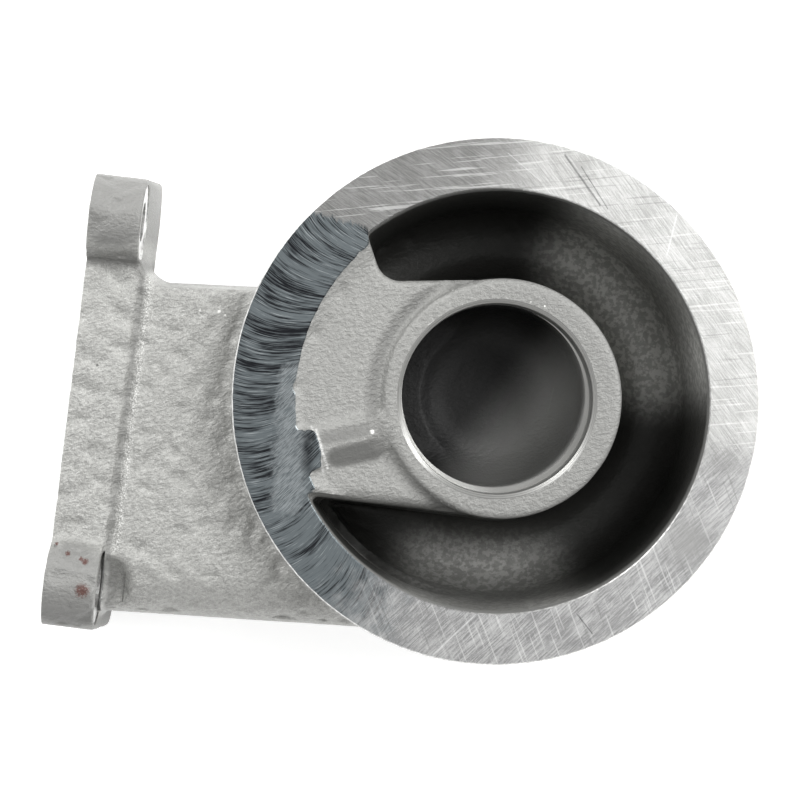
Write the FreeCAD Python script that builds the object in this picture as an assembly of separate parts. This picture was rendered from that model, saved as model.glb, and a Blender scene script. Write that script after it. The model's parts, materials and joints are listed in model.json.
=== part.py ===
import FreeCAD, Part
import math
import os

# Volute pump casing: one aluminium casting, machined on its open ring face, its hub bore and
# its side flange. Millimetres.
# Frame: the origin is on the hub bore's axis, at the mouth of the bore's cylindrical wall.
# +Z leaves the bore, -X leaves the flange. The casting stands on the back of its drum.

Vec = FreeCAD.Vector
x_axis = Vec(1, 0, 0)
y_axis = Vec(0, 1, 0)
z_axis = Vec(0, 0, 1)

# Machined features
face_z = 2.0                    # open face of the ring
bore_r = 20.0
bore_length = 15.0              # wall from z = 0 down to the step
flange_face_x = -89.6
flange_thick = 11.3
bolt_ys = (28.1, -49.9)
bolt_z = -11.0
bolt_hole_r = 4.25
spot_r = 8.0
spot_depth = 0.4
spot_run_out = 0.3              # the spot facer also bites this far into the neck's corner
edge_break = 0.3                # chamfer on the ring's machined edges
machining_stock = 2.0           # metal that the cutters take off the raw casting
overrun = 5.0                   # how far cutters and cores run out of the metal
overlap = 1.0                   # how far joined forms reach into each other

# Draft of the moulded walls
outer_draft = math.tan(math.radians(2.0))
core_draft = math.tan(math.radians(2.5))

# Drum: its axis lies a little off the machined bore, as the casting was set up
drum_xy = (-0.3, -0.5)
drum_face_r = 55.0
drum_back_z = -57.0
drum_back_round = 9.0
parting_z = -27.5               # mould parting plane, also the middle of the neck

# Gallery: the open annular channel round the hub
gallery_xy = (0.1, -0.5)
gallery_r = 44.1                # at the ring face
gallery_floor_z = -48.0
gallery_floor_round = 7.5

# Hub, a post with a boss on top
hub_xy = (1.0, 0.2)
hub_r = 25.1
hub_top_z = 1.0
hub_top_round = 1.0
hub_foot_round = 7.0
hub_foot_z = -48.3              # a little under the gallery's floor, so that its round fades out
cavity_xy = (-0.4, 0.6)         # cored out below the machined bore
cavity_r = 19.4
cavity_floor_z = -41.0
cavity_floor_round = 10.0

# Bridge from the hub to the ring, over the passages
bridge_far_x = -60.0            # inside the ring's metal
bridge_start = (-2.5, 25.0)     # its upper side leaves the hub here
bridge_low_y = -24.8
bridge_low_round = 3.0
bridge_end = (-26.6, 21.6)      # corner where the gallery stops
bridge_end_round = 5.0
bridge_end_wall = (-36.5, 42.3) # the end wall runs from the corner towards here
bridge_hub_z = -0.2             # top of the bridge beside the hub, x = bridge_hub_x
bridge_hub_x = -24.0
bridge_ring_z = 1.5             # top of the bridge where it meets the ring, x = bridge_ring_x
bridge_ring_x = -44.0
bridge_edge_round = 1.2
flare_r = 42.6                  # the bridge flares up into the ring's face at this radius
flare_slope = 0.4
flare_low_y = -24.0

# Bar on the bridge, pointing at the hub
bar_angle = 202.0
bar_width = 8.3
bar_hub_z = 1.1                 # top of the bar beside the boss
bar_ring_z = 1.7                # top of the bar near the ring
bar_inner_r = 25.0
bar_outer_r = 39.8              # from here the bar rises into the ring's machined face
bar_edge_round = 1.0
bar_foot_z = -6.0               # buried in the bridge
bar_side_lean = 0.4
bar_pad_length = 8.0
scoop_r = 14.5                  # hollow that runs obliquely down the bar's hub end
scoop_angle = 32.0
scoop_axis = (-25.3, -17.5, 14.7)

# Neck between flange and drum
neck_near_z = -9.5
neck_far_z = 2 * parting_z - neck_near_z
neck_ends_x = (-80.0, -20.0)
neck_upper_ys = (16.0, 20.6)    # widest places, on the parting plane, at the two ends
neck_lower_ys = (-55.4, -52.0)
neck_upper_draft = 1.4          # how far the upper side leans in from the parting plane
neck_upper_round = 2.0
neck_lower_round = 11.0
upper_web_r = 7.0               # concave corners between the flange's back and the neck's sides
upper_web_rise = 0.4            # where the upper one ends, above the neck's own side
lower_web_r = 3.0
lower_web_rise = -0.9
lower_web_fade = (2.5, 0.6)     # length over which it fades at each end, and radius left there
groove_r = 1.1
groove_depth = 0.6

# Flange: a round lug at each end of its near edge, and a straight far edge
lug_r = 9.2
flange_far_z = -56.0
flange_far_round = 9.0
end_lean = 1.7                  # how far each end wall leans out between the lug and the far edge
hollow_r = 5.4                  # cast hollow in the neck that clears the lower bolt's head
hollow_centre = (-77.0, -48.6, -9.5)

# Passages from the flange, one to the hub cavity and one to the gallery: (middle y, width)
hub_port = (-4.0, 26.0)
hub_passage_inner = (0.0, 37.2) # the passage widens to this below the bore
widening_xs = (-60.0, -18.0)
gallery_port = (-34.2, 18.0)
passage_height = 23.0
passage_round = 8.0


def rounded_outline(corners, place):
    """Closed wire through corners (u, v, radius); place(u, v) gives the point in space."""
    edges = []
    starts = []
    ends = []
    count = len(corners)
    for i, (u, v, radius) in enumerate(corners):
        here = Vec(u, v, 0)
        back = (Vec(*corners[i - 1][:2], 0) - here).normalize()
        on = (Vec(*corners[(i + 1) % count][:2], 0) - here).normalize()
        half = back.getAngle(on) / 2
        reach = radius / math.tan(half)
        starts.append(here + back * reach)
        ends.append(here + on * reach)
        if radius:
            middle = here + (back + on).normalize() * (radius / math.sin(half) - radius)
            arc = [place(p.x, p.y) for p in (starts[i], middle, ends[i])]
            edges.append(Part.Arc(*arc).toShape())
    for i in range(count):
        a, b = ends[i - 1], starts[i]
        if (a - b).Length > 1e-6:
            edges.append(Part.LineSegment(place(a.x, a.y), place(b.x, b.y)).toShape())
    return Part.Wire(Part.__sortEdges__(edges))


def in_plan(u, v):
    return Vec(u, v, 0)


def across_neck(x):
    """Places an outline given as (y, z) in the plane at this x."""
    return lambda u, v: Vec(x, u, v)


def turned(profile, centre):
    """Solid of revolution about a vertical axis at centre, from an (r, z) profile."""
    cx, cy = centre
    wire = rounded_outline(profile, lambda r, z: Vec(cx + r, cy, z))
    return Part.Face(wire).revolve(Vec(cx, cy, 0), z_axis, 360)


def prism(outline, low_z, high_z):
    """Upright solid on an outline of (x, y, radius) corners."""
    solid = Part.Face(rounded_outline(outline, in_plan)).extrude(z_axis * (high_z - low_z))
    solid.translate(z_axis * low_z)
    return solid


def rod(radius, start, direction, length):
    return Part.makeCylinder(radius, length, start, direction)


def make_drum():
    above_break = machining_stock + edge_break
    parting_r = drum_face_r + (face_z - parting_z) * outer_draft
    profile = [
        (0, face_z + machining_stock, 0),
        (drum_face_r - above_break, face_z + machining_stock, 0),
        (drum_face_r, face_z - edge_break, 0),
        (parting_r, parting_z, 0),
        (parting_r - (parting_z - drum_back_z) * outer_draft, drum_back_z, drum_back_round),
        (0, drum_back_z, 0),
    ]
    return turned(profile, drum_xy)


def make_hub():
    foot_r = hub_r + (hub_top_z - hub_foot_z) * core_draft
    base_r = foot_r + hub_foot_round + overlap
    below = hub_foot_z - overlap
    profile = [
        (0, hub_top_z, 0),
        (hub_r, hub_top_z, hub_top_round),
        (foot_r, hub_foot_z, hub_foot_round),
        (base_r, hub_foot_z, 0),
        (base_r, below, 0),
        (0, below, 0),
    ]
    return turned(profile, hub_xy)


def make_bridge():
    slope = (bridge_ring_z - bridge_hub_z) / (bridge_ring_x - bridge_hub_x)
    foot_z = hub_foot_z - 2 * overlap
    foot_y = bridge_low_y - (hub_top_z - foot_z) * core_draft
    side_y = foot_y - overlap
    end_y = bridge_end_wall[1]

    def section(x):
        top = bridge_hub_z + (x - bridge_hub_x) * slope
        corners = [
            (foot_y, foot_z, 0),
            (bridge_low_y, top, bridge_low_round),
            (end_y + overlap, top, 0),
            (end_y + overlap, foot_z, 0),
        ]
        return rounded_outline(corners, across_neck(x))

    slab = Part.makeLoft([section(bridge_far_x), section(hub_xy[0] + overlap)], True, True)
    column = prism([
        (hub_xy[0], side_y, 0),
        (*bridge_start, 0),
        (*bridge_end, bridge_end_round),
        (*bridge_end_wall, 0),
        (bridge_far_x, end_y, 0),
        (bridge_far_x, side_y, 0),
    ], foot_z - overlap, face_z + overrun)
    bridge = slab.common(column)
    rim = [e for e in bridge.Edges if is_upper_rim(e)]
    return bridge.makeFillet(bridge_edge_round, rim)


def is_upper_rim(edge):
    """True for the bridge's top edges along the gallery's blind end."""
    box = edge.BoundBox
    on_top = box.ZMin > bridge_hub_z - 3 and box.ZLength < 3
    beside_gallery = box.YMin > 15 and bridge_far_x + 10 < box.XMin and box.XMax < 0
    return on_top and beside_gallery


def make_bar():
    """Bar along the bridge, laid out along +X and then turned about the hub's axis."""
    half = bar_width / 2

    def section(x, top):
        corners = [
            (-half - bar_side_lean, bar_foot_z, 0),
            (-half, top, bar_edge_round),
            (half, top, bar_edge_round),
            (half + bar_side_lean, bar_foot_z, 0),
        ]
        return rounded_outline(corners, across_neck(x))

    ends = [section(bar_inner_r, bar_hub_z), section(bar_outer_r, bar_ring_z)]
    bar = Part.makeLoft(ends, True, True)
    pad_height = face_z + machining_stock - bar_foot_z
    pad = Part.makeBox(bar_pad_length, bar_width, pad_height, Vec(bar_outer_r, -half, bar_foot_z))
    for piece in (bar, pad):
        piece.rotate(Vec(0, 0, 0), z_axis, bar_angle)
        piece.translate(Vec(*hub_xy, 0))
    along = Vec(math.cos(math.radians(scoop_angle)), math.sin(math.radians(scoop_angle)), 0)
    reach = bar_outer_r
    scoop = rod(scoop_r, Vec(*scoop_axis) - along * reach, along, 2 * reach)
    return bar.cut(scoop).fuse(pad)


def make_flare():
    """Rise from the bridge into the ring's face, a shallow cone inside the bridge's outline."""
    top = face_z + machining_stock
    foot_z = bar_foot_z
    outer_r = gallery_r + 2 * overlap
    cone = turned([
        (flare_r - (face_z - foot_z) / flare_slope, foot_z, 0),
        (flare_r, face_z, 0),
        (flare_r, top, 0),
        (outer_r, top, 0),
        (outer_r, foot_z, 0),
    ], gallery_xy)
    outline = prism([
        (bridge_end[0], flare_low_y, 0),
        (bridge_end[0], bridge_end[1], 0),
        (*bridge_end_wall, 0),
        (bridge_far_x, bridge_end_wall[1], 0),
        (bridge_far_x, flare_low_y, 0),
    ], foot_z, top)
    return cone.common(outline)


def make_gallery():
    """The channel's core: the open drum less the hub, the bridge and its bar."""
    above_break = machining_stock + overlap + edge_break
    top = face_z + machining_stock + overlap
    floor_r = gallery_r - (face_z - gallery_floor_z) * core_draft
    profile = [
        (0, top, 0),
        (gallery_r + above_break, top, 0),
        (gallery_r, face_z - edge_break, 0),
        (floor_r, gallery_floor_z, gallery_floor_round),
        (0, gallery_floor_z, 0),
    ]
    core = turned(profile, gallery_xy)
    return core.cut(make_hub().fuse([make_bridge(), make_flare(), make_bar()]))


def make_neck():
    def section(upper, lower, x):
        inner = upper - neck_upper_draft
        corners = [
            (lower, neck_near_z, neck_lower_round),
            (inner, neck_near_z, neck_upper_round),
            (upper, parting_z, 0),
            (inner, neck_far_z, neck_upper_round),
            (lower, neck_far_z, neck_lower_round),
        ]
        return rounded_outline(corners, across_neck(x))

    ends = [section(*row) for row in zip(neck_upper_ys, neck_lower_ys, neck_ends_x)]
    neck = Part.makeLoft(ends, True, True)
    return neck.fuse([make_upper_web(), make_lower_web()])


def web_outline(z, corner_y, radius):
    """Outline at height z of a concave corner; a negative radius faces it to -Y."""
    back_x = flange_face_x + flange_thick
    side = math.copysign(1, radius)
    buried_y = corner_y - side * 3 * overlap
    tip_x = back_x + abs(radius) + 3 * overlap
    tip_y = corner_y + radius + side * overlap / 2
    corners = [
        (back_x - overlap, buried_y, 0),
        (tip_x, buried_y, 0),
        (tip_x, corner_y, 0),
        (back_x, corner_y, abs(radius)),
        (back_x, tip_y, 0),
        (back_x - overlap, tip_y, 0),
    ]
    return rounded_outline(corners, lambda u, v: Vec(u, v, z))


def make_upper_web():
    """Drafted as the neck's upper side is, and rounded off at both ends in two steps."""
    parting_y = neck_upper_ys[0] + upper_web_rise
    half = neck_near_z - parting_z
    middle_step = 1 - math.sqrt(0.5)
    levels = [(0, 0)]
    for step_in, step_down in ((0, 1), (middle_step, middle_step), (1, 0)):
        rise = half - step_down * neck_upper_round
        levels.append((rise, neck_upper_draft * rise / half + step_in * neck_upper_round))
    both = [(-rise, lean) for rise, lean in reversed(levels[1:])] + levels
    sections = [web_outline(parting_z + rise, parting_y - lean, upper_web_r) for rise, lean in both]
    return Part.makeLoft(sections, True, True)


def make_lower_web():
    corner_y = neck_lower_ys[0] - lower_web_rise
    length, end_r = lower_web_fade
    half = neck_near_z - neck_lower_round - parting_z
    levels = ((-half - length, end_r), (-half, lower_web_r), (half, lower_web_r), (half + length, end_r))
    sections = [web_outline(parting_z + rise, corner_y, -radius) for rise, radius in levels]
    return Part.makeLoft(sections, True, True)


def make_flange():
    """Plate across the neck's end, with its two lugs."""
    upper_y, lower_y = bolt_ys
    far_reach = lug_r + end_lean
    place = across_neck(flange_face_x - machining_stock)
    plate = [
        (lower_y, neck_near_z, 0),
        (upper_y, neck_near_z, 0),
        (upper_y + lug_r, bolt_z, 0),
        (upper_y + far_reach, flange_far_z, flange_far_round),
        (lower_y - far_reach, flange_far_z, flange_far_round),
        (lower_y - lug_r, bolt_z, 0),
    ]
    outlines = [rounded_outline(plate, place)]
    for bolt_y in bolt_ys:
        ring = Part.Circle(place(bolt_y, bolt_z), x_axis, lug_r).toShape()
        outlines.append(Part.Wire(ring))
    plates = [Part.Face(w).extrude(x_axis * (flange_thick + machining_stock)) for w in outlines]
    return plates[0].fuse(plates[1:]).removeSplitter()


def make_casting():
    """The raw casting, with stock still on its machined faces."""
    body = make_drum().fuse([make_neck(), make_flange()])
    return body.cut([make_gallery(), make_hollow()]).removeSplitter()


def make_grooves():
    """The crease between the flange's band and the neck, on both sides."""
    groove_x = flange_face_x + flange_thick + groove_r
    start_y = bolt_ys[1] + lug_r - overlap
    length = neck_upper_ys[0] - neck_upper_draft - overlap - start_y
    lift = groove_r - groove_depth
    return [rod(groove_r, Vec(groove_x, start_y, z), y_axis, length)
            for z in (neck_near_z + lift, neck_far_z - lift)]


def passage_section(middle_y, width, x):
    half, rise = width / 2, passage_height / 2
    corners = [(middle_y + sy * half, parting_z + sz * rise, passage_round)
               for sy, sz in ((-1, -1), (1, -1), (1, 1), (-1, 1))]
    return rounded_outline(corners, across_neck(x))


def make_passages():
    start_x = flange_face_x - overrun
    widening = [
        passage_section(*hub_port, start_x),
        passage_section(*hub_port, widening_xs[0]),
        passage_section(*hub_passage_inner, widening_xs[1]),
        passage_section(*hub_passage_inner, cavity_xy[0]),
    ]
    to_hub = Part.makeLoft(widening, True, True)
    outlet = passage_section(*gallery_port, start_x)
    to_gallery = Part.Face(outlet).extrude(x_axis * -start_x)
    return [to_hub, to_gallery]


def make_bore():
    """Chamfered bore with the cored cavity under its step."""
    step_z = -bore_length
    mouth_z = hub_top_z + overrun
    bore = turned([
        (0, mouth_z, 0),
        (bore_r + mouth_z, mouth_z, 0),
        (bore_r, 0, 0),
        (bore_r, step_z, 0),
        (0, step_z, 0),
    ], (0, 0))
    cavity = turned([
        (0, step_z + overlap, 0),
        (cavity_r, step_z + overlap, 0),
        (cavity_r, cavity_floor_z, cavity_floor_round),
        (0, cavity_floor_z, 0),
    ], cavity_xy)
    return [bore, cavity]


def make_bolt_cuts():
    """Bolt holes and their spot faces."""
    back_x = flange_face_x + flange_thick
    cuts = []
    for y in bolt_ys:
        hole_start = Vec(flange_face_x - overrun, y, bolt_z)
        spot_start = Vec(back_x - spot_depth, y, bolt_z)
        cuts.append(rod(bolt_hole_r, hole_start, x_axis, flange_thick + 2 * overrun))
        cuts.append(rod(spot_r, spot_start, x_axis, spot_depth + spot_run_out))
    return cuts


def make_hollow():
    """Round hollow between the flange's back and the neck's lower corner."""
    ball = Part.makeSphere(hollow_r, Vec(*hollow_centre))
    low_y, low_z = hollow_centre[1] - 2 * hollow_r, hollow_centre[2] - 2 * hollow_r
    behind_flange = Part.makeBox(4 * hollow_r, 4 * hollow_r, 4 * hollow_r,
                                 Vec(flange_face_x + flange_thick, low_y, low_z))
    return ball.common(behind_flange)


def make_face_cuts():
    """Blocks that leave the ring face and the flange face flat."""
    span = 200.0
    above = Part.makeBox(2 * span, 2 * span, span, Vec(-span, -span, face_z))
    beyond = Part.makeBox(span, 2 * span, 2 * span, Vec(flange_face_x - span, -span, -span))
    return [above, beyond]


def machine(casting):
    cuts = make_face_cuts() + make_bore() + make_bolt_cuts() + make_grooves() + make_passages()
    return casting.cut(cuts).removeSplitter()


def main():
    os.makedirs("parts", exist_ok=True)
    casing = machine(make_casting())
    solids = casing.Solids
    print("solids", len(solids), "valid", casing.isValid(), "volume", round(casing.Volume))
    print("box", casing.BoundBox)
    solids[0].exportStep("parts/volute_casing.step")


main()
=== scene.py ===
import json
import math

import bmesh
import bpy
import numpy as np
from mathutils import Matrix, Vector, noise


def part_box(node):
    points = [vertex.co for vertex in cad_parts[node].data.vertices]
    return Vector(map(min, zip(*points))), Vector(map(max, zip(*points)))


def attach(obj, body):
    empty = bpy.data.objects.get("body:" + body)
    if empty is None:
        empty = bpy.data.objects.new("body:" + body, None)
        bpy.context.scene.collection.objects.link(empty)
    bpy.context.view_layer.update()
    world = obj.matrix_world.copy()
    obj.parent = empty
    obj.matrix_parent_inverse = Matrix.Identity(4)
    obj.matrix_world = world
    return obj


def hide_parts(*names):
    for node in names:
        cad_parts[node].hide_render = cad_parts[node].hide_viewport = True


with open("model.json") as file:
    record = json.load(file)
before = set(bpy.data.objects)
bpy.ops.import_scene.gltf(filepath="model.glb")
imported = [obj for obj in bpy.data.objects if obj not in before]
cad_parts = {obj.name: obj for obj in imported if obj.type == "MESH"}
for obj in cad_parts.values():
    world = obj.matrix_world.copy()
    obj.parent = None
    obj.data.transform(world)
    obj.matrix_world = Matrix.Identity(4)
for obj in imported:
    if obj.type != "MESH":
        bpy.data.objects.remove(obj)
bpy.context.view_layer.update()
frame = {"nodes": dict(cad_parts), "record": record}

mm = 0.001
record = frame["record"]
mounts = {m["name"]: m for m in record["mounts"]}
ringZ = mounts["sealing_face"]["pos_m"][2]
flangeX = mounts["flange_face"]["pos_m"][0]
boreRadius = mounts["hub_bore"]["dims"]["r_mm"] * mm
boreDepth = mounts["hub_bore"]["dims"]["length_mm"] * mm
boltRadius = mounts["flange_bolts"]["dims"]["hole_r_mm"] * mm
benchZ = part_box("volute_casing")[0][2]


def boltCentres():
    at = mounts["flange_bolts"]["pos_m"]
    dims = mounts["flange_bolts"]["dims"]
    half = dims["spacing_x_mm"] * mm / 2
    return [(at[1] + side * half, at[2]) for side in (-1, 1)]


blank = dict(
    stock=2.0,              # mm of metal over the ring face and the flange face
    ringOuter=55.0,         # mm, where the ring's two edges stand before they are broken
    ringInner=44.1,
    drumAxis=(-0.3, -0.5),
    galleryAxis=(0.1, -0.5),
    hubAxis=(1.0, 0.2),
    hubTop=1.0,
    hubRadius=25.1,
    plugMargin=0.5,         # how far the plugs in bored holes reach into the metal
    flangeThick=11.3,
    spotRadius=8.0,
    spotDepth=0.4,
    spotRunOut=0.3,
    voxel=0.6,
    smoothing=3,
    softSpots=(             # middle, reach (mm) and extra smoothing passes
        ((-75.6, -48.6, -11.0), 8.0, 40),
    ),
    cavityAxis=(-0.4, 0.6),
    cavityRadius=19.55,
    triangles=180000,
)


def takeSolid(node):
    bm = bmesh.new()
    bm.from_mesh(node.data)
    bmesh.ops.remove_doubles(bm, verts=bm.verts, dist=1e-7)
    return bm


def addStock(bm, isFace, step):
    # lifts a machined face off the part, for the cutter to take back later
    faces = [f for f in bm.faces if isFace(f)]
    out = bmesh.ops.extrude_face_region(bm, geom=faces)
    lifted = [g for g in out["geom"] if isinstance(g, bmesh.types.BMVert)]
    bmesh.ops.translate(bm, verts=lifted, vec=step)
    left = [f for f in faces if f.is_valid]
    if left:
        bmesh.ops.delete(bm, geom=left, context="FACES_ONLY")


def squareRing(bm):
    # the broken edges of the ring face go back to sharp corners
    for v in bm.verts:
        if abs(v.co.z - ringZ) > 1e-6:
            continue
        for axis, radius in ((blank["drumAxis"], blank["ringOuter"]),
                             (blank["galleryAxis"], blank["ringInner"])):
            centre = Vector(axis) * mm
            out = v.co.xy - centre
            if abs(out.length - radius * mm) < 0.4 * mm:
                v.co.xy = centre + out.normalized() * radius * mm


def addRod(bm, start, end, radius, sides=64):
    # a closed cylinder from start to end
    start, end = Vector(start), Vector(end)
    turn = (end - start).to_track_quat("Z", "Y").to_matrix().to_4x4()
    place = Matrix.Translation((start + end) / 2) @ turn
    bmesh.ops.create_cone(bm, cap_ends=True, segments=sides, radius1=radius, radius2=radius,
                          depth=(end - start).length, matrix=place)


def addPlugs(bm):
    margin = blank["plugMargin"] * mm
    top = blank["hubTop"] * mm
    addRod(bm, (0, 0, -boreDepth), (0, 0, top), boreRadius + top + margin)
    backX = flangeX + blank["flangeThick"] * mm
    spot = blank["spotDepth"] * mm
    for y, z in boltCentres():
        addRod(bm, (flangeX - margin, y, z), (backX - spot, y, z), boltRadius + margin)
        addRod(bm, (backX - 2 * spot, y, z), (backX, y, z), blank["spotRadius"] * mm + margin)


def newObject(name, mesh):
    thing = bpy.data.objects.new(name, mesh)
    bpy.context.scene.collection.objects.link(thing)
    return thing


def settle(thing):
    # applies a piece's modifiers
    graph = bpy.context.evaluated_depsgraph_get()
    mesh = bpy.data.meshes.new_from_object(thing.evaluated_get(graph))
    thing.modifiers.clear()
    old = thing.data
    thing.data = mesh
    bpy.data.meshes.remove(old)


def castBlank(node):
    bm = takeSolid(node)
    squareRing(bm)
    addStock(bm, lambda f: f.normal.z > 0.999 and abs(f.calc_center_median().z - ringZ) < 1e-6,
             Vector((0, 0, blank["stock"] * mm)))
    addStock(bm, lambda f: f.normal.x < -0.999 and abs(f.calc_center_median().x - flangeX) < 1e-6,
             Vector((-blank["stock"] * mm, 0, 0)))
    addPlugs(bm)
    mesh = bpy.data.meshes.new("casting")
    bm.to_mesh(mesh)
    bm.free()
    thing = newObject("casting", mesh)
    remesh = thing.modifiers.new("skin", "REMESH")
    remesh.mode = "VOXEL"
    remesh.voxel_size = blank["voxel"] * mm
    remesh.adaptivity = 0
    soft = thing.modifiers.new("worn mould edges", "SMOOTH")
    soft.factor = 0.5
    soft.iterations = blank["smoothing"]
    settle(thing)
    for middle, reach, passes in blank["softSpots"]:
        group = thing.vertex_groups.new(name="soft spot")
        centre = Vector(middle) * mm
        for v in thing.data.vertices:
            off = (v.co - centre).length / mm
            if off < reach:
                group.add([v.index], min(1.0, 2 - 2 * off / reach), "REPLACE")
        worn = thing.modifiers.new("soft spot", "SMOOTH")
        worn.factor = 0.5
        worn.iterations = passes
        worn.vertex_group = group.name
        settle(thing)
    print("blank", len(thing.data.vertices), "points")
    return thing


skin = dict(
    wave=(0.07, 11.0),      # depth and length of a form's unevenness, mm
    ripple=(0.07, 2.6),
    grain=(0.05, 1.1),
    galleryPeel=(0.30, 1.7),
    valleyRadius=26.3,      # the soft valley between boss and bridge, mm
    valleyWidth=1.3,
    valleyDepth=0.7,
    creaseX=-77.1,          # the crease between the flange's band and the neck
    creaseWidth=1.0,
    creaseDepth=0.45,
    creaseEnds=(-42.0, 12.5),
    border=(0.55, 3.2),     # the bridge's unevenness where it rises into the ring
    borderRadii=(37.5, 40.5),
)


def noiseAt(points, length, seed, stretch=(1, 1, 1)):
    # smooth noise from 0 to 1 at every point, with features about length mm across
    scaled = points / (length * mm) * np.array(stretch) + seed
    return np.array([noise.noise(p) for p in scaled.tolist()]) * 0.5 + 0.5


def bell(x, middle, width):
    return np.exp(-((x - middle) / width) ** 2)


def slope01(x, low, high):
    t = np.clip((x - low) / (high - low), 0, 1)
    return t * t * (3 - 2 * t)


def roughenSkin(thing):
    # the sand mould's unevenness, always into the metal so that no size grows
    mesh = thing.data
    count = len(mesh.vertices)
    co = np.empty(count * 3, dtype=np.float64)
    mesh.vertices.foreach_get("co", co)
    co = co.reshape(-1, 3)
    normals = np.empty(count * 3, dtype=np.float64)
    mesh.vertex_normals.foreach_get("vector", normals)
    normals = normals.reshape(-1, 3)
    hub = np.hypot(co[:, 0] - blank["hubAxis"][0] * mm, co[:, 1] - blank["hubAxis"][1] * mm) / mm
    gallery = np.hypot(co[:, 0], co[:, 1]) / mm
    height = co[:, 2] / mm
    depth = np.zeros(count)
    for name, seed in (("wave", 3.1), ("ripple", 17.7), ("grain", 41.3)):
        amount, length = skin[name]
        depth += amount * noiseAt(co, length, seed)
    inGallery = slope01(height, -1, -4) * (gallery < 45) * (hub > 22)
    amount, length = skin["galleryPeel"]
    side = np.clip((co[:, 0] + co[:, 1]) / (45 * mm), 0, 1)
    depth += amount * inGallery * side * noiseAt(co, length, 63.9)
    onBridge = (height > -4) * (height < 1.4) * (co[:, 0] < -6 * mm) * (normals[:, 2] > 0.3)
    valley = bell(hub, skin["valleyRadius"], skin["valleyWidth"]) * onBridge
    depth += skin["valleyDepth"] * valley
    onTop = normals[:, 2] > 0.4
    lowY, highY = skin["creaseEnds"]
    along = slope01(co[:, 1] / mm, lowY - 2, lowY + 2) * slope01(co[:, 1] / mm, highY + 2, highY - 2)
    crease = bell(co[:, 0] / mm, skin["creaseX"], skin["creaseWidth"]) * onTop * (height > -13)
    depth += skin["creaseDepth"] * crease * along
    fromRing = np.hypot(co[:, 0] - blank["galleryAxis"][0] * mm,
                        co[:, 1] - blank["galleryAxis"][1] * mm) / mm
    amount, length = skin["border"]
    border = slope01(fromRing, *skin["borderRadii"]) * onTop * (co[:, 0] < -20 * mm) * (height < 3)
    depth += amount * border * slope01(noiseAt(co, length, 88.2), 0.45, 0.8)
    co -= normals * (depth * mm)[:, None]
    mesh.vertices.foreach_set("co", co.ravel())
    mesh.update()
    print("skin roughened")


def thin(thing):
    # brings the mesh down to its triangle budget
    now = sum(len(p.vertices) - 2 for p in thing.data.polygons)
    fewer = thing.modifiers.new("budget", "DECIMATE")
    fewer.ratio = min(1.0, blank["triangles"] / now)
    settle(thing)
    print("thinned from", now, "to", len(thing.data.polygons))


machined = dict(
    ringEdge=0.25,          # mm, the deburred edge of the ring face
    flangeEdge=0.2,
    bridgeSide=50.0,        # within this radius the ring's edge beside the bridge is milled too
    boreSides=160,
)


def cutter(build):
    bm = bmesh.new()
    build(bm)
    bmesh.ops.recalc_face_normals(bm, faces=bm.faces)
    mesh = bpy.data.meshes.new("cutter")
    bm.to_mesh(mesh)
    bm.free()
    return newObject("cutter", mesh)


def cutAway(thing, build):
    tool = cutter(build)
    cut = thing.modifiers.new("cut", "BOOLEAN")
    cut.operation = "DIFFERENCE"
    cut.solver = "MANIFOLD"
    cut.object = tool
    settle(thing)
    bpy.data.objects.remove(tool)


def addBlock(bm, low, high):
    low, high = Vector(low), Vector(high)
    place = Matrix.Translation((low + high) / 2) @ Matrix.Diagonal((*(high - low), 1))
    bmesh.ops.create_cube(bm, size=1, matrix=place)


def addTurned(bm, profile, sides):
    # closed solid of revolution about the bore's axis, from (radius, height) pairs
    rings = []
    for radius, height in profile:
        if radius == 0:
            rings.append([bm.verts.new((0, 0, height))])
        else:
            rings.append([bm.verts.new((radius * math.cos(2 * math.pi * i / sides),
                                        radius * math.sin(2 * math.pi * i / sides), height))
                          for i in range(sides)])
    for lower, upper in zip(rings, rings[1:]):
        for i in range(sides):
            j = (i + 1) % sides
            if len(lower) == 1:
                bm.faces.new((lower[0], upper[j], upper[i]))
            elif len(upper) == 1:
                bm.faces.new((lower[i], lower[j], upper[0]))
            else:
                bm.faces.new((lower[i], lower[j], upper[j], upper[i]))


def boreTool(bm):
    top = blank["hubTop"] * mm + 3 * mm
    profile = [(0, -boreDepth), (boreRadius, -boreDepth), (boreRadius, 0),
               (boreRadius + top, top), (0, top)]
    addTurned(bm, profile, machined["boreSides"])


def spotTools(bm):
    backX = flangeX + blank["flangeThick"] * mm
    for y, z in boltCentres():
        addRod(bm, (backX - blank["spotDepth"] * mm, y, z),
               (backX + blank["spotRunOut"] * mm, y, z), blank["spotRadius"] * mm)


def drillTools(bm):
    backX = flangeX + blank["flangeThick"] * mm
    for y, z in boltCentres():
        addRod(bm, (flangeX - 5 * mm, y, z), (backX + 5 * mm, y, z), boltRadius)


def breakEdges(thing, isFace, size):
    # raises a milled face inside its own outline, which leaves a small chamfer all round
    bm = bmesh.new()
    bm.from_mesh(thing.data)
    faces = [f for f in bm.faces if isFace(f)]
    faces = bmesh.ops.triangulate(bm, faces=faces)["faces"]
    bmesh.ops.inset_region(bm, faces=faces, thickness=size, depth=size, use_boundary=True,
                           use_even_offset=True)
    bm.to_mesh(thing.data)
    bm.free()


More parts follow.
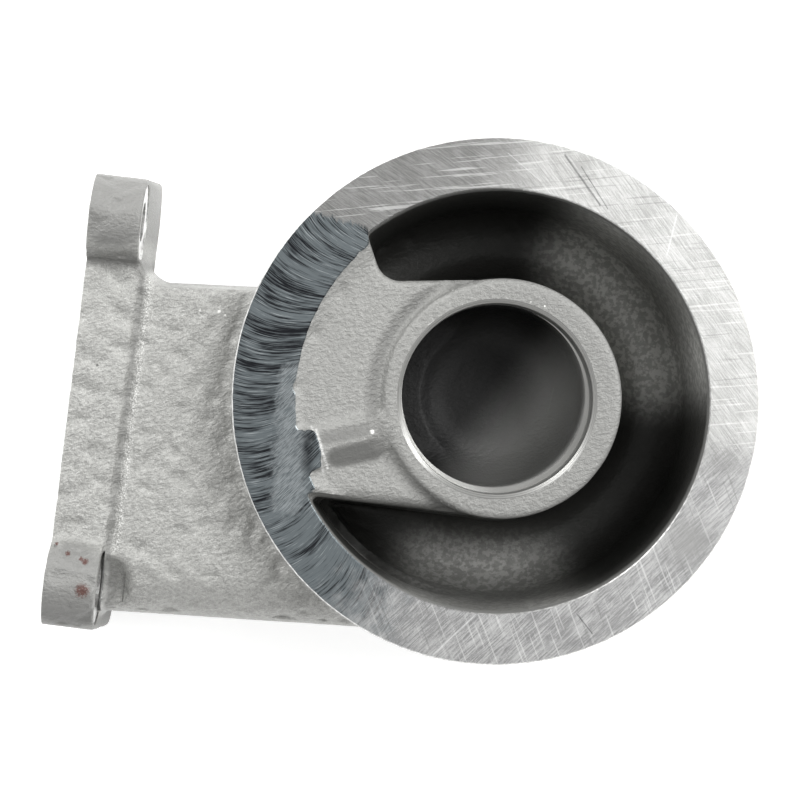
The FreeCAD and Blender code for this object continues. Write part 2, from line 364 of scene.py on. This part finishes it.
def machineBlank(thing):
    ringEdge = machined["ringEdge"] * mm
    flangeEdge = machined["flangeEdge"] * mm
    far = 200 * mm
    cutAway(thing, lambda bm: addBlock(bm, (-far, -far, ringZ - ringEdge), (far, far, far)))
    breakEdges(thing, lambda f: f.normal.z > 0.999
               and abs(f.calc_center_median().z - ringZ + ringEdge) < 1e-6, ringEdge)
    cutAway(thing, boreTool)
    cavity = [v * mm for v in blank["cavityAxis"]]
    cutAway(thing, lambda bm: addRod(bm, (*cavity, -boreDepth - 2.5 * mm), (*cavity, -boreDepth + 0.5 * mm),
                                     blank["cavityRadius"] * mm, machined["boreSides"]))
    cutAway(thing, spotTools)
    cutAway(thing, drillTools)
    cutAway(thing, lambda bm: addBlock(bm, (-far, -far, -far), (flangeX + flangeEdge, far, far)))
    breakEdges(thing, lambda f: f.normal.x < -0.999
               and abs(f.calc_center_median().x - flangeX - flangeEdge) < 1e-6, flangeEdge)
    print("machined", len(thing.data.polygons), "faces")


def sortFinishes(thing):
    # each face takes the finish of the tool that made it
    mesh = thing.data
    count = len(mesh.polygons)
    centre = np.empty(count * 3)
    mesh.polygons.foreach_get("center", centre)
    centre = centre.reshape(-1, 3)
    normal = np.empty(count * 3)
    mesh.polygons.foreach_get("normal", normal)
    normal = normal.reshape(-1, 3)
    x, y, z = centre.T
    flat = 0.02 * mm
    slot = np.zeros(count, dtype=np.int32)
    ringEdge = machined["ringEdge"] * mm
    slot[(z > ringZ - flat) & (normal[:, 2] > 0.99)] = 1
    fromBore = np.hypot(x, y)
    ringSide = (z > ringZ - ringEdge - flat) & (z < ringZ - flat)
    bridgeSide = (fromBore < machined["bridgeSide"] * mm) & (x < 0)
    slot[ringSide] = 2
    slot[ringSide & bridgeSide] = 1
    wall = (np.abs(fromBore - boreRadius) < 0.05 * mm) & (z < 0) & (z > -boreDepth)
    chamfer = (z >= 0) & (z < 1.5 * mm) & (np.abs(fromBore - boreRadius - z) < 0.05 * mm)
    step = (np.abs(z + boreDepth) < flat) & (fromBore < boreRadius) & (normal[:, 2] > 0.99)
    slot[wall | chamfer | step] = 3
    slot[(x < flangeX + machined["flangeEdge"] * mm + flat)] = 2
    backX = flangeX + blank["flangeThick"] * mm
    for by, bz in boltCentres():
        off = np.hypot(y - by, z - bz)
        spot = (off < blank["spotRadius"] * mm + flat) & (x < backX + flat) & (x > backX - mm)
        facing = (normal[:, 0] > 0.99) | (np.abs(off - blank["spotRadius"] * mm) < 0.05 * mm)
        slot[spot & facing & (np.abs(x - backX) < 0.6 * mm)] = 2
        slot[(np.abs(off - boltRadius) < 0.05 * mm) & (x < backX + flat)] = 2
    mesh.polygons.foreach_set("material_index", slot)
    mesh.shade_smooth()
    mesh.set_sharp_from_angle(angle=math.radians(34))
    mesh.update()


class Link:
    # one output socket; arithmetic on it adds Math nodes
    def __init__(self, nodes, socket):
        self.nodes = nodes
        self.socket = socket

    def __add__(self, other):
        return self.nodes.maths("ADD", self, other)

    def __sub__(self, other):
        return self.nodes.maths("SUBTRACT", self, other)

    def __rsub__(self, other):
        return self.nodes.maths("SUBTRACT", other, self)

    def __mul__(self, other):
        return self.nodes.maths("MULTIPLY", self, other)

    def __truediv__(self, other):
        return self.nodes.maths("DIVIDE", self, other)

    def __pow__(self, other):
        return self.nodes.maths("POWER", self, other)

    __radd__ = __add__
    __rmul__ = __mul__


class Nodes:
    # a new material and the nodes in it
    def __init__(self, name):
        self.material = bpy.data.materials.new(name)
        self.material.use_nodes = True
        self.tree = self.material.node_tree
        self.surface = self.tree.nodes["Principled BSDF"]
        self.place = self.add("ShaderNodeTexCoord", out="Object")
        self.spot = self.add("ShaderNodeVectorMath", {"operation": "SCALE"},
                             {0: self.place, "Scale": 1000})     # the place in mm

    def feed(self, socket, value):
        if isinstance(value, Link):
            self.tree.links.new(value.socket, socket)
        else:
            socket.default_value = value

    def add(self, kind, settings=None, sockets=None, out=0):
        node = self.tree.nodes.new(kind)
        for name, value in (settings or {}).items():
            if name == "stops":
                ramp = node.color_ramp
                while len(ramp.elements) < len(value):
                    ramp.elements.new(1)
                for element, (at, colour) in zip(ramp.elements, value):
                    element.position = at
                    element.color = colour
            else:
                setattr(node, name, value)
        for key, value in (sockets or {}).items():
            self.feed(node.inputs[key], value)
        return Link(self, node.outputs[out])

    def maths(self, operation, a, b=0.0, c=0.0):
        return self.add("ShaderNodeMath", {"operation": operation}, {0: a, 1: b, 2: c})

    def axes(self, vector):
        return [self.add("ShaderNodeSeparateXYZ", None, {0: vector}, out) for out in range(3)]

    def vector(self, x, y, z=0.0):
        return self.add("ShaderNodeCombineXYZ", None, {0: x, 1: y, 2: z})

    def ease(self, value, low, high):
        # 0 below low, 1 above high, smooth between; high may be the smaller one
        return self.add("ShaderNodeMapRange", {"interpolation_type": "SMOOTHSTEP"},
                        {"Value": value, "From Min": low, "From Max": high})

    def noise(self, vector, scale, detail=2.0, rough=0.5, warp=0.0):
        return self.add("ShaderNodeTexNoise", None,
                        {"Vector": vector, "Scale": scale, "Detail": detail, "Roughness": rough,
                         "Distortion": warp})

    def blend(self, factor, a, b):
        # colours; a and b may be colours or links
        a, b = [(*v, 1) if isinstance(v, tuple) and len(v) == 3 else v for v in (a, b)]
        return self.add("ShaderNodeMix", {"data_type": "RGBA"}, {0: factor, 6: a, 7: b}, 2)

    def mapped(self, vector, turn, stretch):
        # the vector turned about Z by so many degrees, then drawn out along its new X
        return self.add("ShaderNodeMapping", {"vector_type": "TEXTURE"},
                        {"Vector": vector, "Rotation": (0, 0, math.radians(turn)),
                         "Scale": (stretch, 1, 1)})

    def stroke(self, start, end, radius, soft):
        # 1 within radius of the line from start to end, seen from above; all in mm
        px, py, pz = self.axes(self.spot)
        (ax, ay), (bx, by) = start, end
        px, py = px - ax, py - ay
        dx, dy = bx - ax, by - ay
        share = self.add("ShaderNodeClamp", None,
                         {"Value": (px * dx + py * dy) / max(dx * dx + dy * dy, 1e-6)})
        offX, offY = px - share * dx, py - share * dy
        off = self.maths("SQRT", offX * offX + offY * offY)
        return self.ease(off, radius + soft, max(radius - soft, 0))

    def bump(self, height, strength, distance, normal=None):
        sockets = {"Height": height, "Strength": strength, "Distance": distance}
        if normal:
            sockets["Normal"] = normal
        return self.add("ShaderNodeBump", None, sockets)

    def shade(self, **values):
        for name, value in values.items():
            self.feed(self.surface.inputs[name.replace("_", " ")], value)


castFinish = dict(
    light=(0.46, 0.46, 0.445),
    middle=(0.345, 0.345, 0.33),
    dark=(0.24, 0.24, 0.23),
    shadow=(0.11, 0.11, 0.105),
    # painted shade: the lugs, the bridge and the boss are darkened towards this tone
    lugTone=(0.185, 0.185, 0.178),
    undersides=(            # painted shadow where the lugs turn away below: ends, half width, softness, share
        ((-89.0, 19.4), (-78.5, 19.4), 0.6, 2.4, 0.6), ((-89.0, -57.6), (-78.5, -57.6), 1.0, 2.6, 0.45),
    ),
    lugs=(((-84.5, 31.0), 9.0), ((-84.5, -50.0), 9.0)),         # painted shade on the lugs: middle and reach, mm
    bridgeShare=0.58,       # how much painted shade darkens the bridge towards the lugs' shaded tone
    bossShare=0.16,         # and the boss beyond that
    # painted shade: the gallery's inside is painted dark with this tone, which also colours the dark specks
    gallery=(0.036, 0.036, 0.033),
    galleryLit=(0.62, 0.62, 0.59),
    litPlaces=(             # painted light where light reaches the gallery: ends, radius, softness, share
        ((17.0, 33.0), (35.0, 12.0), 5.0, 13.0, 1.0), ((-9.0, -38.0), (15.0, -38.0), 5.0, 11.0, 0.5),
    ),
    # painted light and shade in the cavity under the bore: dark on one side, lit on the other
    cavity=(0.008, 0.008, 0.008),
    cavityLit=(0.34, 0.34, 0.33),
    rust=(0.07, 0.016, 0.009),
    metallic=0.3,
    roughness=0.55,
    grain=1.45,             # grains per mm
    grainDepth=0.32,        # mm
    rustSpots=(             # middle and radius, mm
        ((-81.2, -50.4), 2.6), ((-85.4, -43.2), 0.9), ((-81.5, -44.4), 1.2), ((-82.4, -43.9), 0.8),
        ((-88.2, -41.6), 0.7),
    ),
    darkSpecks=(
        ((-84.5, -3.2), 0.5), ((-88.4, -42.0), 0.6), ((-20.6, -12.5), 0.3), ((-20.9, -9.0), 0.25),
        ((-24.8, 24.6), 0.9),
    ),
    # light specks; the one at (-25.0, -10.0) is a painted highlight on the bar's corner
    lightSpecks=(
        ((-64.3, 10.9), 0.45), ((-60.3, 11.2), 0.7), ((-25.0, -10.0), 0.8), ((4.5, 20.9), 0.3),
        ((7.5, 20.4), 0.3), ((-58.9, 10.6), 0.4),
    ),
    barScoop=((-31.4, -16.3), (-24.3, -13.9), 2.2),    # painted shade in the bar's scoop: ends and half width, mm
    # painted shade on the bar's top: ends and half width, mm
    barTop=((-34.6, -12.7), (-27.0, -10.0), 1.4),
    valley=(26.3, 2.1, 0.5),        # painted shade in the valley between boss and bridge: radius, reach and core, mm
    # painted shade in the crease between the flange's band and the neck
    crease=((-77.3, 19.0), (-77.5, -43.0), 0.35),
    # painted highlight along the crease's right side
    creaseGrit=((-75.7, 17.0), (-75.9, -41.0), 0.5),
    # painted highlights along the bar's edges
    barEdges=(((-37.6, -10.5), (-34.1, -19.4)), ((-36.6, -11.0), (-33.3, -18.6))),
    # painted light on the lower lug's back face, beside its bolt hole
    lugStrip=((-77.7, -45.0), (-77.9, -56.0), 0.7),
    flashLine=((13.2, 4.0), (12.2, -6.6), (7.5, -10.0)),
)


def makeCastFinish():
    n = Nodes("sand cast skin")
    x, y, z = n.axes(n.spot)
    leaning = n.mapped(n.spot, 22, 1.5)
    grain = n.noise(leaning, castFinish["grain"], 2, 0.5, 0.3)
    fine = n.noise(n.spot, 3.4, 2, 0.6)
    cloud = n.noise(n.spot, 0.07, 2, 0.5)
    sand = grain * 0.45 + fine * 0.55
    colour = n.blend(n.ease(sand, 0.36, 0.56), castFinish["dark"], castFinish["middle"])
    colour = n.blend(n.ease(sand, 0.54, 0.66), colour, castFinish["light"])
    colour = n.blend(n.ease(cloud, 0.4, 0.7) * 0.3, colour, castFinish["middle"])
    # painted shade in the sand's pits
    pits = n.ease(n.noise(n.spot, 0.9, 2, 0.5), 0.70, 0.76)
    colour = n.blend(pits * 0.4, colour, castFinish["shadow"])
    # painted shade on the lugs
    for middle, reach in castFinish["lugs"]:
        colour = n.blend(n.stroke(middle, middle, reach, 1.5) * 0.85, colour, castFinish["lugTone"])
    # painted shadow under the lugs
    for start, end, half, soft, share in castFinish["undersides"]:
        colour = n.blend(n.stroke(start, end, half, soft) * share, colour, castFinish["shadow"])
    near = n.ease(z, -4, -2)
    fromAxis = n.maths("SQRT", x * x + y * y)
    # painted shade: the bridge and the boss near the ring's level darken towards the lugs' shade
    share = n.ease(x, -52, -50) * castFinish["bridgeShare"] + n.ease(x, -15, 5) * castFinish["bossShare"]
    colour = n.blend(near * share, colour, castFinish["lugTone"])
    # painted shade in the valley between boss and bridge
    radius, reach, core = castFinish["valley"]
    valley = n.ease(n.maths("ABSOLUTE", fromAxis - radius), reach, core) * n.ease(x, -14, -19) * near
    colour = n.blend(valley * n.ease(y, -20, -12) * 0.5, colour, castFinish["shadow"])
    # painted shade in the crease
    start, end, half = castFinish["crease"]
    colour = n.blend(n.stroke(start, end, half, 1.1) * 0.55, colour, castFinish["shadow"])
    # painted highlight along the crease's right side, broken up by the fine grain
    start, end, half = castFinish["creaseGrit"]
    colour = n.blend(n.stroke(start, end, half, 0.9) * n.ease(fine, 0.5, 0.6) * 0.7, colour, (0.7, 0.7, 0.68))
    # painted shade on the bar's top and in its scoop; calm gathers these places to soften the bump there
    calm = 0
    for place, tint, share in (("barTop", "shadow", 0.5), ("barScoop", "shadow", 0.95)):
        start, end, half = castFinish[place]
        mask = n.stroke(start, end, half, 0.8) * near
        calm = mask + calm
        colour = n.blend(mask * share, colour, castFinish[tint])
    # painted highlights along the bar's edges
    for start, end in castFinish["barEdges"]:
        mask = n.stroke(start, end, 0.25, 0.25) * near
        colour = n.blend(mask * n.ease(fine, 0.3, 0.5) * 0.5, colour, (0.62, 0.62, 0.61))
    # painted light on the lug's back face
    start, end, half = castFinish["lugStrip"]
    colour = n.blend(n.stroke(start, end, half, 0.5) * 0.6, colour, castFinish["light"])
    # painted light and shade inside: the gallery is painted dark with painted light where light reaches it,
    # and the cavity is painted dark on one side and lit on the other
    inside = n.ease(fromAxis, 45.2, 44.4) * n.ease(z, -0.5, -5)
    inCavity = n.ease(fromAxis, 20.6, 20.0) * n.ease(z, -14.5, -15.5)
    lit = 0
    for start, end, radius, soft, share in castFinish["litPlaces"]:
        lit = n.stroke(start, end, radius, soft) * share + lit
    peel = n.ease(n.noise(n.spot, 0.75, 3, 0.6), 0.44, 0.58)
    dim = n.blend(n.ease(lit, 0, 1) * (0.62 + 0.38 * peel), castFinish["gallery"], castFinish["galleryLit"])
    # painted light and shade across the cavity floor
    pit = n.blend(n.ease(x - y * 0.6, -4, 17), castFinish["cavity"], castFinish["cavityLit"])
    colour = n.blend(inside, colour, n.blend(inCavity, dim, pit))
    crack = 0
    points = castFinish["flashLine"]
    for start, end in zip(points, points[1:]):
        crack = n.stroke(start, end, 0.1, 0.12) + crack
    colour = n.blend(n.ease(crack, 0, 1) * inCavity * 0.5, colour, castFinish["middle"])
    ragged = (n.noise(n.spot, 2.6, 3, 0.65) - 0.5) * 2.2
    # dark specks, light specks with one painted highlight, and rust spots
    for spots, tint, share in ((castFinish["darkSpecks"], castFinish["gallery"], 0.7),
                               (castFinish["lightSpecks"], (0.85, 0.85, 0.82), 0.7),
                               (castFinish["rustSpots"], castFinish["rust"], 0.85)):
        for middle, radius in spots:
            mask = n.stroke(middle, middle, radius * 0.5, radius * 0.7)
            mask = n.ease(mask + ragged * mask, 0.3, 0.9) * n.ease(z, -14, -12)
            colour = n.blend(mask * share, colour, tint)
    calm = 1 - 0.6 * n.ease(calm + inside, 0, 1)
    normal = n.bump(grain * calm, 1.0, castFinish["grainDepth"] * mm)
    normal = n.bump(fine * calm, 0.7, 0.10 * mm, normal)
    rough = castFinish["roughness"] + (fine - 0.5) * 0.3
    n.shade(Base_Color=colour, Metallic=castFinish["metallic"], Roughness=rough, Normal=normal)
    return n.material


ringFinish = dict(
    axis=(-0.1, -0.5),
    # the milled zone's colours: the cutter's marks, with dark colours that are partly painted reflection of
    # the dark space above the face
    milledLow=(0.012, 0.013, 0.016),
    milledHigh=(0.148, 0.169, 0.178),
    # painted glints on the milled streaks
    milledGlint=(0.40, 0.43, 0.44),
    lens=((-42.0, -1.0), (-40.8, -26.0), 3.8, 3.4),     # ends, half width and softness, mm
    lensTone=(0.33, 0.355, 0.365),
    start=(0.134, 27.8),    # the cutter's last pass ends on the line y = 27.8 - 0.134 x
    # painted light and shade of the sanded face: shaded at the top left, sunny to the right, the lower tones
    # at the bottom
    shadeTones=((0.155, 0.155, 0.15), (0.265, 0.265, 0.26)),
    sunnyTones=((0.34, 0.34, 0.33), (0.53, 0.53, 0.52)),
    lowerTones=((0.23, 0.23, 0.23), (0.47, 0.47, 0.465)),
    patch=((43.2, -24.4), 4.5, 4.0),
    toolRadius=16.0,        # mm, of the arcs that the milling cutter left
    roughness=0.42,
    darkStrokes=(           # ends and half width, mm; the last is painted shade beside the bar
        ((7.8, 52.0), (16.3, 42.6), 0.16), ((22.0, -42.5), (25.5, -46.0), 0.12),
        ((11.5, 50.0), (18.0, 42.0), 0.10), ((-38.3, -12.5), (-37.4, -19.0), 1.1),
    ),
    lightStrokes=(
        ((32.4, 42.5), (31.4, 34.0), 0.12), ((-6.8, -54.5), (1.3, -44.6), 0.13),
        ((-4.0, 51.0), (3.5, 46.0), 0.07),
    ),
)


def makeRingFinish():
    n = Nodes("milled ring face")
    wide, tall, z = n.axes(n.spot)
    x = wide - ringFinish["axis"][0]
    y = tall - ringFinish["axis"][1]
    radius = n.maths("SQRT", x * x + y * y)
    angle = n.maths("ARCTAN2", 0.0 - y, 0.0 - x) + math.pi      # 0 at +X, growing to +Y
    inward = 55.0 - radius
    mark = angle * 50.0 + (inward - 4.5) ** 2 / (2 * ringFinish["toolRadius"])
    streak = n.noise(n.vector(mark, inward * 0.045), 2.6, 3, 0.6)
    cluster = n.noise(n.vector(mark, inward * 0.15, 7.0), 0.28, 2, 0.5)
    fine = n.noise(n.vector(mark, inward * 0.03, 3.0), 6.0, 2, 0.6)
    level = streak * 0.45 + fine * 0.25 + cluster * 0.3 + n.ease(angle, 3.3, 4.2) * 0.04
    # the cutter's streaks, their dark colours partly painted reflection
    streakReflection = n.ease(level, 0.43, 0.54)
    milledColour = n.blend(streakReflection, ringFinish["milledLow"], ringFinish["milledHigh"])
    # painted glints on the milled streaks
    glint = n.ease(fine * 0.6 + streak * 0.4, 0.57, 0.63) * n.ease(cluster, 0.3, 0.5)
    milledColour = n.blend(glint * 0.7, milledColour, ringFinish["milledGlint"])
    hair = n.noise(n.mapped(n.spot, 52, 12), 5.0, 3, 0.6)
    lensEdge = (n.noise(n.spot, 0.8, 2, 0.5) - 0.5) * 0.9
    lens = n.ease(n.stroke(*ringFinish["lens"]) + lensEdge, 0.3, 0.9)
    lensColour = n.blend(n.ease(hair, 0.40, 0.58), ringFinish["milledHigh"], ringFinish["lensTone"])
    milledColour = n.blend(lens * 0.8, milledColour, lensColour)
    slant, level0 = ringFinish["start"]
    comb = (n.noise(n.vector(wide, tall * 0.1), 1.1, 3, 0.7) - 0.5) * 5.0
    begun = n.ease(tall + wide * slant + comb, level0 + 0.5, level0 - 0.5) * n.ease(wide, -10, -14)
    endNoise = (n.noise(n.spot, 0.35, 3, 0.6) - 0.5) * 0.5
    milled = begun * n.ease(angle + endNoise, 4.55, 4.05)
    flat = n.noise(n.mapped(n.spot, -27, 16), 4.8, 3, 0.65)
    steep = n.noise(n.mapped(n.spot, -47, 16), 4.8, 3, 0.65)
    rising = n.noise(n.mapped(n.spot, 50, 16), 4.8, 3, 0.65)
    grit = n.noise(n.spot, 3.0, 3, 0.6)
    right = n.ease(x, -12, 8)
    lower = n.ease(y, 2, -14)
    scratched = (flat * (1 - right) + steep * right) * (1 - lower) + rising * lower
    patches = n.noise(n.spot, 0.16, 2, 0.5)
    share = n.ease(scratched * 0.6 + grit * 0.2 + patches * 0.2, 0.38, 0.62)
    # painted light and shade: the sanded face is sunny to the right, shaded at the top left, and takes the
    # lower tones at the bottom
    sunny = right * (1 - lower)
    low = n.blend(sunny, ringFinish["shadeTones"][0], ringFinish["sunnyTones"][0])
    high = n.blend(sunny, ringFinish["shadeTones"][1], ringFinish["sunnyTones"][1])
    low = n.blend(lower, low, ringFinish["lowerTones"][0])
    high = n.blend(lower, high, ringFinish["lowerTones"][1])
    sanded = n.blend(share, low, high)
    # crossing scratches: the lighter ones are painted glints, the darker ones take the shaded tone
    cross = n.noise(n.mapped(n.spot, 12, 34), 2.2, 2, 0.5) * (1 - lower)
    cross = cross + n.noise(n.mapped(n.spot, -62, 34), 2.2, 2, 0.5) * lower
    sanded = n.blend(n.ease(cross, 0.60, 0.68) * 0.35, sanded, (0.75, 0.75, 0.74))
    sanded = n.blend(n.ease(cross, 0.38, 0.31) * 0.35, sanded, ringFinish["shadeTones"][0])
    middle, reach, soft = ringFinish["patch"]
    sanded = n.blend(n.stroke(middle, middle, reach, soft) * 0.75, sanded, ringFinish["shadeTones"][1])
    colour = n.blend(milled, sanded, milledColour)
    # dark scratches, and painted shade beside the bar
    for start, end, half in ringFinish["darkStrokes"]:
        colour = n.blend(n.stroke(start, end, half, half) * 0.6, colour, ringFinish["milledLow"])
    for start, end, half in ringFinish["lightStrokes"]:
        colour = n.blend(n.stroke(start, end, half, half) * 0.35, colour, (0.85, 0.85, 0.85))
    height = scratched * (1 - milled) + (streak * 0.6 + fine * 0.4) * milled
    normal = n.bump(height, 0.6, 0.04 * mm)
    rough = ringFinish["roughness"] + (scratched - 0.5) * 0.2 - milled * 0.08
    n.shade(Base_Color=colour, Metallic=0.85, Roughness=rough, Normal=normal)
    return n.material


def makeEdgeFinish():
    n = Nodes("bright machined edge")
    wear = n.noise(n.spot, 1.2, 3, 0.6)
    colour = n.blend(n.ease(wear, 0.4, 0.6), (0.52, 0.52, 0.51), (0.75, 0.75, 0.74))
    n.shade(Base_Color=colour, Metallic=0.95, Roughness=0.32 + (wear - 0.5) * 0.2)
    return n.material


def makeBoreFinish():
    n = Nodes("bored wall")
    x, y, z = n.axes(n.spot)
    feed = n.noise(n.vector(z * 6.0, n.maths("ARCTAN2", y, x) * 0.3), 1.0, 3, 0.6)
    colour = n.blend(n.ease(feed, 0.35, 0.65), (0.34, 0.34, 0.33), (0.62, 0.62, 0.60))
    normal = n.bump(feed, 0.5, 0.03 * mm)
    n.shade(Base_Color=colour, Metallic=0.95, Roughness=0.34 + (feed - 0.5) * 0.2, Normal=normal)
    return n.material


def makeCasting():
    thing = castBlank(frame["nodes"]["volute_casing"])
    roughenSkin(thing)
    thin(thing)
    machineBlank(thing)
    thing.data.materials.clear()
    for make in (makeCastFinish, makeRingFinish, makeEdgeFinish, makeBoreFinish):
        thing.data.materials.append(make())
    sortFinishes(thing)
    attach(thing, "root")
    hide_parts("volute_casing")
    return thing


studio = dict(
    floorSize=6.0,
    floorColour=(0.93, 0.93, 0.93),
    floorGlow=0.5,          # the floor is a lit table, so it takes no shadow
    world=0.68,
    softboxes=(             # where each softbox stands (m), its size (m) and power (W)
        ((0.55, 0.35, 0.95), 0.55, 10.0),
        ((-0.75, 0.65, 0.55), 0.55, 10.0),
        ((0.80, 0.60, 0.35), 0.45, 6.0),
    ),
    eye=(-0.02005, -0.0027, 0.702),
    roll=6.99,              # degrees that the picture is turned about Z
    lens=151.5,
)


def makeStage():
    bm = bmesh.new()
    bmesh.ops.create_grid(bm, x_segments=1, y_segments=1, size=studio["floorSize"] / 2,
                          matrix=Matrix.Translation((0, 0, benchZ)))
    mesh = bpy.data.meshes.new("floor")
    bm.to_mesh(mesh)
    bm.free()
    floor = newObject("floor", mesh)
    n = Nodes("pale floor")
    n.shade(Base_Color=(*studio["floorColour"], 1), Roughness=0.9, Metallic=0.0,
            Emission_Color=(1, 1, 1, 1), Emission_Strength=studio["floorGlow"])
    mesh.materials.append(n.material)
    for number, (place, size, power) in enumerate(studio["softboxes"]):
        lamp = bpy.data.lights.new("softbox%d" % number, "AREA")
        lamp.size = size
        lamp.energy = power
        box = bpy.data.objects.new(lamp.name, lamp)
        box.location = place
        box.rotation_euler = Vector(place).to_track_quat("Z", "Y").to_euler()
        bpy.context.scene.collection.objects.link(box)
    world = bpy.data.worlds.new("studio")
    world.use_nodes = True
    world.node_tree.nodes["Background"].inputs["Strength"].default_value = studio["world"]
    world.node_tree.nodes["Background"].inputs["Color"].default_value = (1, 1, 1, 1)
    bpy.context.scene.world = world
    bpy.context.scene.view_settings.view_transform = "Standard"


def makeCamera():
    lens = bpy.data.cameras.new("camera")
    lens.lens = studio["lens"]
    lens.sensor_width = 36
    lens.clip_end = 20
    eye = bpy.data.objects.new("camera", lens)
    eye.location = studio["eye"]
    eye.rotation_euler = (0, 0, math.radians(studio["roll"]))
    bpy.context.scene.collection.objects.link(eye)
    bpy.context.scene.camera = eye


makeStage()
makeCamera()
print("stage ready")
makeCasting()
print("casting ready")
